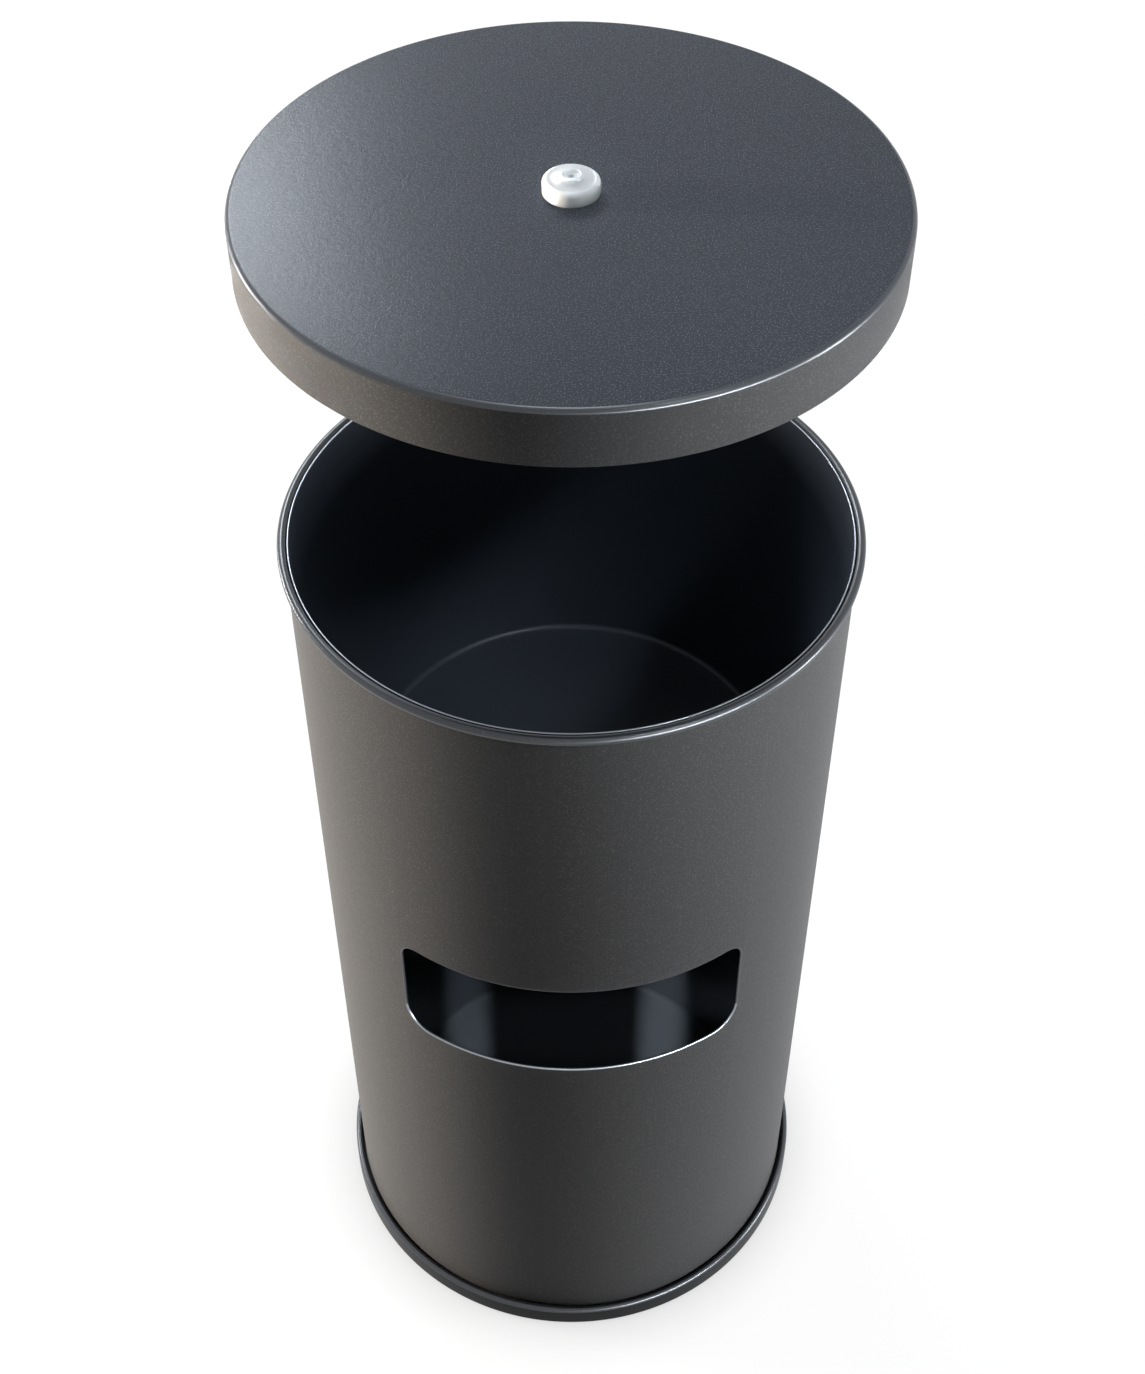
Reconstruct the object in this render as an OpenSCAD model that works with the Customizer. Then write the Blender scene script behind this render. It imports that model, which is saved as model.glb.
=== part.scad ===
// Free-standing wipes dispenser and waste bin: a tall round steel body with a tapered pan for the
// roll in its top, a slot for used wipes in its front, and a cap lid with a dispensing nozzle.
// Millimetres, +Z up, floor at Z = 0, slot facing -Y, drawn with the lid raised clear of the rim.

/* [Body] */
// Outer radius of the rolled steel tube
body_r = 125; // [110:1:140]
// Sheet thickness of the tube
body_wall = 1.2; // [0.8:0.1:2]
// Height of the top of the rolled rim above the floor
body_h = 491; // [440:1:540]
// Outer radius of the curl that is rolled outward round the mouth
bead_r = 2.05; // [1.8:0.05:3]

/* [Waste slot] */
// Length of the slot measured round the body
slot_arc = 173; // [140:1:190]
// Height of the slot's lower edge above the floor
slot_low = 252.5; // [220:0.5:290]
// Height of the slot's upper edge above the floor
slot_high = 317; // [300:0.5:322]
// Radius of the slot's two upper corners
slot_r_top = 10; // [4:0.5:16]
// Radius of the slot's two lower corners
slot_r_low = 14; // [6:0.5:24]

/* [Base] */
// Outer radius of the moulded base ring
ring_r = 129.8; // [127:0.1:134]
// Height of the ring's top edge above the floor
ring_top = 14.5; // [10:0.5:24]
// Height of the rubber feet
foot_h = 1.5; // [1:0.5:4]
// Radius of each rubber foot
foot_r = 6.5; // [4:0.5:8]
// Number of screws round the base
screw_count = 4; // [3:1:8]
// Radius of the circle that the feet stand on
foot_circle = 117; // [112:0.5:120]
// Radius of the circle that the screws stand on
screw_circle = 111; // [108:0.5:112]

/* [Waste pail] */
// Height of the pail's lip above the floor
pail_top = 232; // [180:1:240]
// Outer radius of the pail just under its lip
pail_r = 119; // [112:0.5:120]
// Outer radius of the pail's foot
pail_foot_r = 104; // [90:0.5:106]
// Thickness of the pail's moulded wall
pail_wall = 1.5; // [1:0.1:3]

/* [Wipes pan] */
// Height of the pan's floor above the ground
pan_floor = 328.1; // [327:0.1:360]
// Inner radius of the pan's floor
pan_floor_r = 99.8; // [80:0.1:110]
// Sheet thickness of the pan
pan_wall = 0.8; // [0.6:0.1:1.5]
// Inner radius of the bend between the pan's floor and side
pan_bend = 3; // [1.5:0.5:8]
// Length of the straight collar at the pan's mouth
pan_collar = 14; // [6:1:30]

/* [Lid] */
// Outer radius of the lid's skirt
lid_r = 129.8; // [129:0.1:136]
// Overall height of the lid cap
lid_h = 25; // [16:0.5:40]
// Sheet thickness of the lid
lid_wall = 1.2; // [0.8:0.1:2]
// Radius of the lid's rounded top edge
lid_edge = 2.4; // [1.5:0.1:5]
// Gap between the raised lid's skirt and the rim below it
lid_gap = 141.6; // [0:0.1:200]
// Thickness of the sealing ring inside the lid
gasket_t = 1; // [0.5:0.1:3]

/* [Nozzle] */
// Outer radius of the dispensing cap
cap_r = 11.2; // [9:0.1:16]
// Height of the cap's shoulder above the lid
cap_h = 6; // [4:0.1:10]
// Radius of the orifice in the cap
cap_orifice = 1.2; // [0.8:0.1:2]
// Outer radius of the threaded stem in the lid's hole
stem_r = 6; // [5:0.1:8]
// Bore radius of the stem, below its ledge
stem_bore = 3.6; // [2.5:0.1:4]
// Width of the retaining nut across its flats
nut_af = 18; // [15:0.5:22]

/* [View] */
// Sub-part to draw

/* [Hidden] */
$fn = 96;

STEEL = [0.17, 0.17, 0.18];
INNER = [0.09, 0.10, 0.12];
MOULDED = [0.12, 0.12, 0.13];
RUBBER = [0.05, 0.05, 0.05];
ZINC = [0.70, 0.70, 0.72];
SILICONE = [0.86, 0.88, 0.90];
MILKY = [0.90, 0.93, 0.96, 0.85];

inner_r = body_r - body_wall;
shell_low = foot_h + 2.5;
floor_top = shell_low + 6;
floor_wall = 1;
slide_gap = 0.1;
lid_low = body_h + lid_gap;
lid_top = lid_low + lid_h;
lid_under = lid_top - lid_wall;
lid_hole = stem_r + 0.3;
stem_flange = 1.5;
stem_neck_r = stem_r + 1;
stem_neck_top = 4.5;
run_fit = 0.06;
curl_end = 100;

// Points of an arc about [x, y] from angle a to angle b, in n equal steps.
function arc(x, y, r, a, b, n = 6) =
    [for (i = [0 : n]) let (t = a + (b - a) * i / n) [x + r * cos(t), y + r * sin(t)]];

// The slot's outline round the body, [distance from its middle, height], corners rounded.
function slot_flat(half, low, high, rt, rl) = concat(
    arc(-half + rl, low + rl, rl, 180, 270), arc(half - rl, low + rl, rl, 270, 360),
    arc(half - rt, high - rt, rt, 0, 90), arc(-half + rt, high - rt, rt, 90, 180));

// The same outline as it is cut straight through the front of the tube.
function slot_cut() =
    [for (p = slot_flat(slot_arc / 2, slot_low, slot_high, slot_r_top, slot_r_low))
        [body_r * sin(p[0] / body_r * 180 / PI), p[1]]];

// Section of the tube: straight wall, its top edge curled outward and down, open at the end.
function shell_section() =
    let (cr = inner_r + bead_r, cz = body_h - bead_r)
    concat([[body_r, shell_low], [inner_r, shell_low]],
        arc(cr, cz, bead_r, 180, -curl_end, 14),
        arc(cr, cz, bead_r - body_wall, -curl_end, 180, 9));

// Rolled steel tube with its curled rim, waste slot and lapped seam down the back.
module body_shell() color(STEEL) {
    seam_w = 9;
    seam_t = 0.7;
    difference() {
        rotate_extrude() polygon(shell_section());
        rotate([90, 0, 0]) linear_extrude(body_r + 20) polygon(slot_cut());
    }
    intersection() {
        translate([0, 0, ring_top + 2]) difference() {
            cylinder(r = body_r + seam_t, h = body_h - 2 * bead_r - ring_top - 6);
            translate([0, 0, -1]) cylinder(r = body_r - 0.4, h = body_h);
        }
        translate([-seam_w / 2, 0, 0]) cube([seam_w, body_r + 10, body_h]);
    }
}

// Pressed steel floor of the bin, its flange turned down inside the tube.
module base_floor() color(INNER) {
    r = inner_r - slide_gap;
    bend = 2;
    difference() {
        rotate_extrude() polygon(concat(
            [[0, floor_top - floor_wall], [r - bend - floor_wall + 1, floor_top - floor_wall]],
            [[r - floor_wall, floor_top - floor_wall - 1], [r - floor_wall, shell_low], [r, shell_low]],
            arc(r - bend, floor_top - bend, bend, 0, 90, 4),
            [[0, floor_top]]));
        for (i = [1 : screw_count]) at_screw(i)
            translate([0, 0, floor_top - floor_wall - 1]) cylinder(r = 2.2, h = 4, $fn = 32);
    }
}

// Places its children at screw i of the base.
module at_screw(i) rotate([0, 0, 45 + 360 / screw_count * (i - 1)]) translate([screw_circle, 0, 0])
    children();

// Moulded ring that the tube stands in: rounded outer edge, a groove at the tube, screw bosses.
module base_ring() color(MOULDED) {
    edge = 2.2;
    lip = body_r + 1.3;
    fit = body_r + slide_gap;
    hollow = 104;
    boss_r = 5;
    difference() {
        union() {
            rotate_extrude() polygon(concat(
                [[hollow, foot_h], [ring_r - 0.6, foot_h], [ring_r, foot_h + 0.6]],
                arc(ring_r - edge, ring_top - edge, edge, 0, 90, 5),
                [[lip + 0.4, ring_top], [lip, ring_top - 0.4], [lip, ring_top - 5]],
                [[fit, ring_top - 5], [fit, shell_low], [hollow, shell_low]]));
            for (i = [1 : screw_count]) at_screw(i) translate([0, 0, shell_low - 1])
                cylinder(r = boss_r, h = floor_top - floor_wall - shell_low + 1, $fn = 40);
        }
        for (i = [1 : screw_count]) at_screw(i)
            translate([0, 0, shell_low - 1.5]) cylinder(r = 2.05, h = 12, $fn = 32);
    }
}

// Rubber foot i of four, with a chamfered tread, glued under the ring between the screws.
module foot(i) color(RUBBER)
    rotate([0, 0, 90 * (i - 1)]) translate([foot_circle, 0, 0])
        rotate_extrude($fn = 40) polygon([[0, 0], [foot_r - 0.5, 0], [foot_r, 0.5], [foot_r, foot_h],
            [0, foot_h]]);

// The pan-head screws from the bin's floor into the ring's bosses, each with a cross recess.
module base_screws() color(ZINC)
    for (i = [1 : screw_count]) at_screw(i) translate([0, 0, floor_top]) difference() {
        rotate_extrude($fn = 32) polygon([[0, -6.5], [1.4, -6.5], [2, -5.9], [2, 0], [4, 0], [4, 1],
            [3.2, 2], [1.8, 2.4], [0, 2.4]]);
        for (a = [0, 90]) rotate([0, 0, a]) translate([-2, -0.4, 1.3]) cube([4, 0.8, 3]);
    }

// Tapered liner with a rolled lip that catches the used wipes, standing on the bin's floor.
module waste_pail() color(MOULDED) {
    lip = 1.7;
    bend = 4;
    foot_in = pail_foot_r - pail_wall;
    lip_x = pail_r - pail_wall + lip;
    rotate_extrude() polygon(concat(
        [[0, floor_top + pail_wall], [0, floor_top]],
        arc(pail_foot_r - bend, floor_top + bend, bend, 270, 360, 4),
        [[pail_r, pail_top - 2 * lip]],
        arc(lip_x, pail_top - lip, lip, -60, 180, 10),
        [[pail_r - pail_wall, pail_top - 2 * lip]],
        arc(foot_in - bend, floor_top + pail_wall + bend, bend, 360, 270, 4)));
}

// Tapered steel pan that holds the roll of wipes inside the tube's mouth.
module wipes_pan() color(INNER) {
    out_r = inner_r - 2 * slide_gap;
    in_r = out_r - pan_wall;
    top = body_h - 0.6;
    knee = top - pan_collar;
    rise = atan2(knee - pan_floor, in_r - pan_floor_r);
    bx = pan_floor_r - pan_bend * tan(rise / 2);
    rotate_extrude() polygon(concat(
        [[0, pan_floor], [0, pan_floor - pan_wall]],
        arc(bx, pan_floor + pan_bend, pan_bend + pan_wall, 270, 270 + rise, 5),
        [[out_r, knee - 1], [out_r, top - 0.2], [out_r - 0.2, top], [in_r + 0.2, top],
         [in_r, top - 0.2], [in_r, knee]],
        arc(bx, pan_floor + pan_bend, pan_bend, 270 + rise, 270, 5)));
}

// One angle bracket, spot-welded to the tube, that the pan's floor rests on.
module bracket(i) color(STEEL) {
    under = pan_floor - pan_wall;
    t = 1.2;
    width = 26;
    reach = 84;
    leg = 20;
    turn = [90, 210, 330][i - 1];
    rotate([0, 0, turn]) intersection() {
        rotate_extrude() polygon([[reach, under - t], [inner_r, under - t], [inner_r, under + leg],
            [inner_r - t, under + leg], [inner_r - t, under], [reach, under]]);
        translate([reach - 10, -width / 2, 0]) cube([60, width, body_h]);
    }
}

// Drawn steel cap lid, flat on top with a rounded edge, skirt over the rim.
module lid_cap() color(STEEL)
    rotate_extrude() polygon(concat(
        [[lid_hole, lid_under], [lid_hole, lid_top]],
        arc(lid_r - lid_edge, lid_top - lid_edge, lid_edge, 90, 0, 6),
        [[lid_r, lid_low + 0.3], [lid_r - 0.3, lid_low], [lid_r - lid_wall, lid_low]],
        arc(lid_r - lid_edge, lid_top - lid_edge, lid_edge - lid_wall, 0, 90, 4)));

// Soft ring stuck inside the lid, which closes on the rim's bead.
module lid_gasket() color(RUBBER)
    translate([0, 0, lid_under - gasket_t]) difference() {
        cylinder(r = lid_r - lid_edge, h = gasket_t);
        translate([0, 0, -1]) cylinder(r = inner_r - 2.3, h = gasket_t + 2);
    }

// Flanged stem through the lid that the roll's end is threaded through.
module nozzle_stem() color(MILKY)
    translate([0, 0, lid_top]) rotate_extrude($fn = 48) polygon([
        [stem_bore, -8], [stem_r - 0.4, -8], [stem_r, -7.6], [stem_r, 0], [9, 0],
        [9, stem_flange], [stem_neck_r, stem_flange], [stem_neck_r, stem_neck_top],
        [4.6, stem_neck_top], [4.6, 0.5], [stem_bore, 0.5]]);

// Silicone disc on the stem's ledge, its star of slits gripping the next wipe.
module nozzle_valve() color(SILICONE)
    translate([0, 0, lid_top + 0.5]) difference() {
        cylinder(r = 4.5, h = 1.2, $fn = 40);
        for (a = [0, 60, 120]) rotate([0, 0, a]) translate([-3, -0.15, -1]) cube([6, 0.3, 4]);
    }

// Flat washer between the nut and the lid.
module nozzle_washer() color(RUBBER)
    translate([0, 0, lid_under - 1]) difference() {
        cylinder(r = 10.5, h = 1, $fn = 48);
        translate([0, 0, -1]) cylinder(r = lid_hole, h = 3, $fn = 40);
    }

// Hexagon nut that clamps the stem from below.
module nozzle_nut() color(SILICONE)
    translate([0, 0, lid_under - 5]) difference() {
        cylinder(r = nut_af / 2 / cos(30), h = 4, $fn = 6);
        translate([0, 0, -1]) cylinder(r = stem_r + 0.05, h = 6, $fn = 40);
    }

// Milky cap that turns on the stem: rounded shoulder, low dome, raised ring, small orifice.
module nozzle_cap() color(MILKY) {
    wall = 1.6;
    round = 1.8;
    hub = stem_neck_r + run_fit;
    translate([0, 0, lid_top]) rotate_extrude($fn = 64) polygon(concat(
        [[cap_r - wall, slide_gap], [cap_r - 0.3, slide_gap], [cap_r, slide_gap + 0.3]],
        arc(cap_r - round, cap_h - round, round, 0, 78, 6),
        [[4.6, cap_h + 1], [4.3, cap_h + 1.7], [3.9, cap_h + 2], [3.3, cap_h + 1.9],
         [3, cap_h + 1.2], [1.9, cap_h + 1.1], [cap_orifice, cap_h + 0.8]],
        [[cap_orifice, cap_h - 0.8], [hub, cap_h - 0.9], [hub, stem_flange + 0.2],
         [hub + 1.1, stem_flange + 0.2], [hub + 1.1, cap_h - 1.3], [cap_r - wall, cap_h - 1.6]]));
}

body_shell();
base_floor();
base_ring();
foot(1);  // foot_1
foot(2);  // foot_2
foot(3);  // foot_3
foot(4);  // foot_4
base_screws();
waste_pail();
wipes_pan();
bracket(1);  // bracket_1
bracket(2);  // bracket_2
bracket(3);  // bracket_3
lid_cap();
lid_gasket();
nozzle_stem();
nozzle_valve();
nozzle_washer();
nozzle_nut();
nozzle_cap();
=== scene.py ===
"""Looks of a free-standing wipes dispenser and waste bin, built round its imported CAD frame.

The frame gives every size and place. The sheet-metal and moulded pieces are turned again here as
fine meshes, dressed with procedural finishes, and ride on the bodies of the frame.
"""

from __future__ import annotations

import logging
import math
from dataclasses import dataclass
from enum import Enum
from typing import Callable, Sequence

import bmesh
import bpy
from mathutils import Matrix, Vector

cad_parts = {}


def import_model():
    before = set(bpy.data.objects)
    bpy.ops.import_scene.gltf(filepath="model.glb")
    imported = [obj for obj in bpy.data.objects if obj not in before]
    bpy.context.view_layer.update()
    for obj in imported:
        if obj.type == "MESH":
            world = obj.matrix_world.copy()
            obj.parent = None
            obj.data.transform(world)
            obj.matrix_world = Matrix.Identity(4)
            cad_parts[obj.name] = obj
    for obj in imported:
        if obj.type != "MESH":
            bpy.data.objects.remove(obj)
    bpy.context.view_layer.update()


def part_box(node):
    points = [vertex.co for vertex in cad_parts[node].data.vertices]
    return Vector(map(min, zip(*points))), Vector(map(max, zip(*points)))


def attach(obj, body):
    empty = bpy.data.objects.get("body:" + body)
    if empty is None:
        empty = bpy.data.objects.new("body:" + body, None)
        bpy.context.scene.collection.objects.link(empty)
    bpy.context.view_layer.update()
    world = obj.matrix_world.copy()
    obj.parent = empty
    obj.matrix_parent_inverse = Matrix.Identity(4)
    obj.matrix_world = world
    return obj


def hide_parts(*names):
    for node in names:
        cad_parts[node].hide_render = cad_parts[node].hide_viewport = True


log = logging.getLogger("wipes_bin")

MM = 0.001
FULL_TURN = 2 * math.pi
WELD = 0.002 * MM  # vertices nearer than this are merged
SLIVER = 0.001 * MM  # edges shorter than this are dissolved
SHARP = 32.0  # degrees past which an edge stays sharp
PROFILE = list[tuple[float, float]]


class Ride(Enum):
    """The rigid bodies of the frame that pieces move with."""

    BIN = "bin"
    LID = "lid"
    CAP = "dispensing_cap"


class Slot(Enum):
    """The record's material slots."""

    BODY = "body_paint"
    LID = "lid_paint"
    INNER = "inner_paint"
    RING = "ring_plastic"
    PAIL = "pail_plastic"
    FOOT = "foot_rubber"
    SCREW = "screw_steel"
    GASKET = "gasket_rubber"
    STEM = "nozzle_plastic"
    CAP = "cap_plastic"
    VALVE = "valve_silicone"


# ---------------------------------------------------------------------------------------------
# Outlines
# ---------------------------------------------------------------------------------------------


def arc(x: float, y: float, radius: float, start: float, end: float, steps: int = 8) -> PROFILE:
    """Points along an arc.

    Args:
        x: Centre, first coordinate.
        y: Centre, second coordinate.
        radius: Radius of the arc.
        start: Angle of the first point in degrees.
        end: Angle of the last point in degrees.
        steps: Number of equal steps from the first point to the last.

    Returns:
        steps + 1 points.
    """
    turns = [math.radians(start + (end - start) * i / steps) for i in range(steps + 1)]
    return [(x + radius * math.cos(t), y + radius * math.sin(t)) for t in turns]


def rounded_box(half: float, low: float, high: float, top_r: float, low_r: float) -> PROFILE:
    """Outline of an upright box whose upper and lower corners have their own radii.

    Args:
        half: Half of its width.
        low: Height of its lower edge.
        high: Height of its upper edge.
        top_r: Radius of the two upper corners.
        low_r: Radius of the two lower corners.

    Returns:
        The outline's points, counter-clockwise.
    """
    return [
        *arc(-half + low_r, low + low_r, low_r, 180, 270),
        *arc(half - low_r, low + low_r, low_r, 270, 360),
        *arc(half - top_r, high - top_r, top_r, 0, 90),
        *arc(-half + top_r, high - top_r, top_r, 90, 180),
    ]


# ---------------------------------------------------------------------------------------------
# Node trees
# ---------------------------------------------------------------------------------------------


class Tree:
    """A node tree with short calls to add nodes, feed their inputs and link them."""

    def __init__(self, tree: bpy.types.NodeTree) -> None:
        """Wraps a tree.

        Args:
            tree: The node tree to build in.
        """
        self.tree = tree

    def add(self, kind: str, feeds: dict | None = None, **settings: object) -> bpy.types.Node:
        """Adds a node.

        Args:
            kind: Blender's type name of the node.
            feeds: Input name or index to a socket to link from, or to a value.
            **settings: Properties of the node.

        Returns:
            The new node.
        """
        node = self.tree.nodes.new(kind)
        for name, value in settings.items():
            setattr(node, name, value)
        for key, value in (feeds or {}).items():
            if isinstance(value, bpy.types.NodeSocket):
                self.tree.links.new(value, node.inputs[key])
            else:
                node.inputs[key].default_value = value
        return node

    def math(self, operation: str, *values: object) -> bpy.types.NodeSocket:
        """Adds a Math node and returns its output.

        Args:
            operation: Name of the operation.
            *values: Its operands, sockets or numbers.

        Returns:
            The result's socket.
        """
        return self.add("ShaderNodeMath", dict(enumerate(values)), operation=operation).outputs[0]

    def mix(self, factor: object, first: object, second: object) -> bpy.types.NodeSocket:
        """Mixes two colours.

        Args:
            factor: Share of the second colour.
            first: First colour.
            second: Second colour.

        Returns:
            The mixed colour's socket.
        """
        node = self.add("ShaderNodeMix", {0: factor, 6: first, 7: second}, data_type="RGBA")
        return node.outputs[2]


def geometry_tree(name: str, inputs: dict[str, tuple[str, object]]) -> tuple[Tree, bpy.types.Node]:
    """Starts a Geometry Nodes tree that takes and gives one geometry.

    Args:
        name: The tree's name.
        inputs: Input name to its socket type and default value.

    Returns:
        The tree and its input node.
    """
    group = bpy.data.node_groups.new(name, "GeometryNodeTree")
    group.is_modifier = True
    face = group.interface
    face.new_socket("Geometry", in_out="INPUT", socket_type="NodeSocketGeometry")
    for label, (kind, value) in inputs.items():
        socket = face.new_socket(label, in_out="INPUT", socket_type=kind)
        if value is not None:
            socket.default_value = value
    face.new_socket("Material", in_out="INPUT", socket_type="NodeSocketMaterial")
    face.new_socket("Geometry", in_out="OUTPUT", socket_type="NodeSocketGeometry")
    tree = Tree(group)
    return tree, tree.add("NodeGroupInput")


def close_tree(tree: Tree, source: bpy.types.Node, geometry: bpy.types.NodeSocket) -> None:
    """Ends a geometry tree in Realize Instances and Set Material.

    Args:
        tree: The tree.
        source: Its input node, which holds the material.
        geometry: The socket of the finished geometry.
    """
    real = tree.add("GeometryNodeRealizeInstances", {0: geometry})
    dressed = tree.add(
        "GeometryNodeSetMaterial",
        {"Geometry": real.outputs[0], "Material": source.outputs["Material"]},
    )
    tree.add("NodeGroupOutput", {0: dressed.outputs[0]})


def turned_tree() -> bpy.types.NodeTree:
    """Turns an outline in the XZ plane round the Z axis.

    Returns:
        The tree, with the inputs Radius, Steps and Material.
    """
    tree, source = geometry_tree(
        "turned_outline",
        {"Radius": ("NodeSocketFloat", 0.1), "Steps": ("NodeSocketInt", 96)},
    )
    outline = tree.add("GeometryNodeMeshToCurve", {"Mesh": source.outputs["Geometry"]})
    place = tree.add("ShaderNodeSeparateXYZ", {0: tree.add("GeometryNodeInputPosition").outputs[0]})
    out = tree.math("SUBTRACT", place.outputs["X"], source.outputs["Radius"])
    down = tree.math("MULTIPLY", place.outputs["Z"], -1.0)
    across = tree.add("ShaderNodeCombineXYZ", {"X": out, "Y": down})
    section = tree.add(
        "GeometryNodeSetPosition",
        {"Geometry": outline.outputs["Curve"], "Position": across.outputs[0]},
    )
    path = tree.add(
        "GeometryNodeCurvePrimitiveCircle",
        {"Resolution": source.outputs["Steps"], "Radius": source.outputs["Radius"]},
    )
    upright = tree.add("GeometryNodeSetCurveNormal", {"Curve": path.outputs["Curve"]}, mode="Z_UP")
    swept = tree.add(
        "GeometryNodeCurveToMesh",
        {"Curve": upright.outputs["Curve"], "Profile Curve": section.outputs["Geometry"]},
    )
    close_tree(tree, source, swept.outputs["Mesh"])
    return tree.tree


def bead_tree() -> bpy.types.NodeTree:
    """Runs a round bead along a path.

    Returns:
        The tree, with the inputs Bead Radius, Sides and Material.
    """
    tree, source = geometry_tree(
        "bead_along_path",
        {"Bead Radius": ("NodeSocketFloat", 0.001), "Sides": ("NodeSocketInt", 12)},
    )
    path = tree.add("GeometryNodeMeshToCurve", {"Mesh": source.outputs["Geometry"]})
    ring = tree.add(
        "GeometryNodeCurvePrimitiveCircle",
        {"Resolution": source.outputs["Sides"], "Radius": source.outputs["Bead Radius"]},
    )
    swept = tree.add(
        "GeometryNodeCurveToMesh",
        {"Curve": path.outputs["Curve"], "Profile Curve": ring.outputs["Curve"]},
    )
    smooth = tree.add("GeometryNodeSetShadeSmooth", {"Geometry": swept.outputs["Mesh"]})
    close_tree(tree, source, smooth.outputs[0])
    return tree.tree


def ring_tree() -> bpy.types.NodeTree:
    """Repeats a part at equal steps round the Z axis.

    Returns:
        The tree, with the inputs Count, Start Angle and Material.
    """
    tree, source = geometry_tree(
        "parts_in_a_ring",
        {"Count": ("NodeSocketInt", 4), "Start Angle": ("NodeSocketFloat", 0.0)},
    )
    points = tree.add("GeometryNodePoints", {"Count": source.outputs["Count"]})
    number = tree.add("GeometryNodeInputIndex").outputs[0]
    step = tree.math("DIVIDE", FULL_TURN, source.outputs["Count"])
    turn = tree.math("ADD", tree.math("MULTIPLY", number, step), source.outputs["Start Angle"])
    spun = tree.add("ShaderNodeCombineXYZ", {"Z": turn})
    rotation = tree.add("FunctionNodeEulerToRotation", {0: spun.outputs[0]})
    copies = tree.add(
        "GeometryNodeInstanceOnPoints",
        {
            "Points": points.outputs[0],
            "Instance": source.outputs["Geometry"],
            "Rotation": rotation.outputs[0],
        },
    )
    close_tree(tree, source, copies.outputs[0])
    return tree.tree


# ---------------------------------------------------------------------------------------------
# Mesh work
# ---------------------------------------------------------------------------------------------


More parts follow.
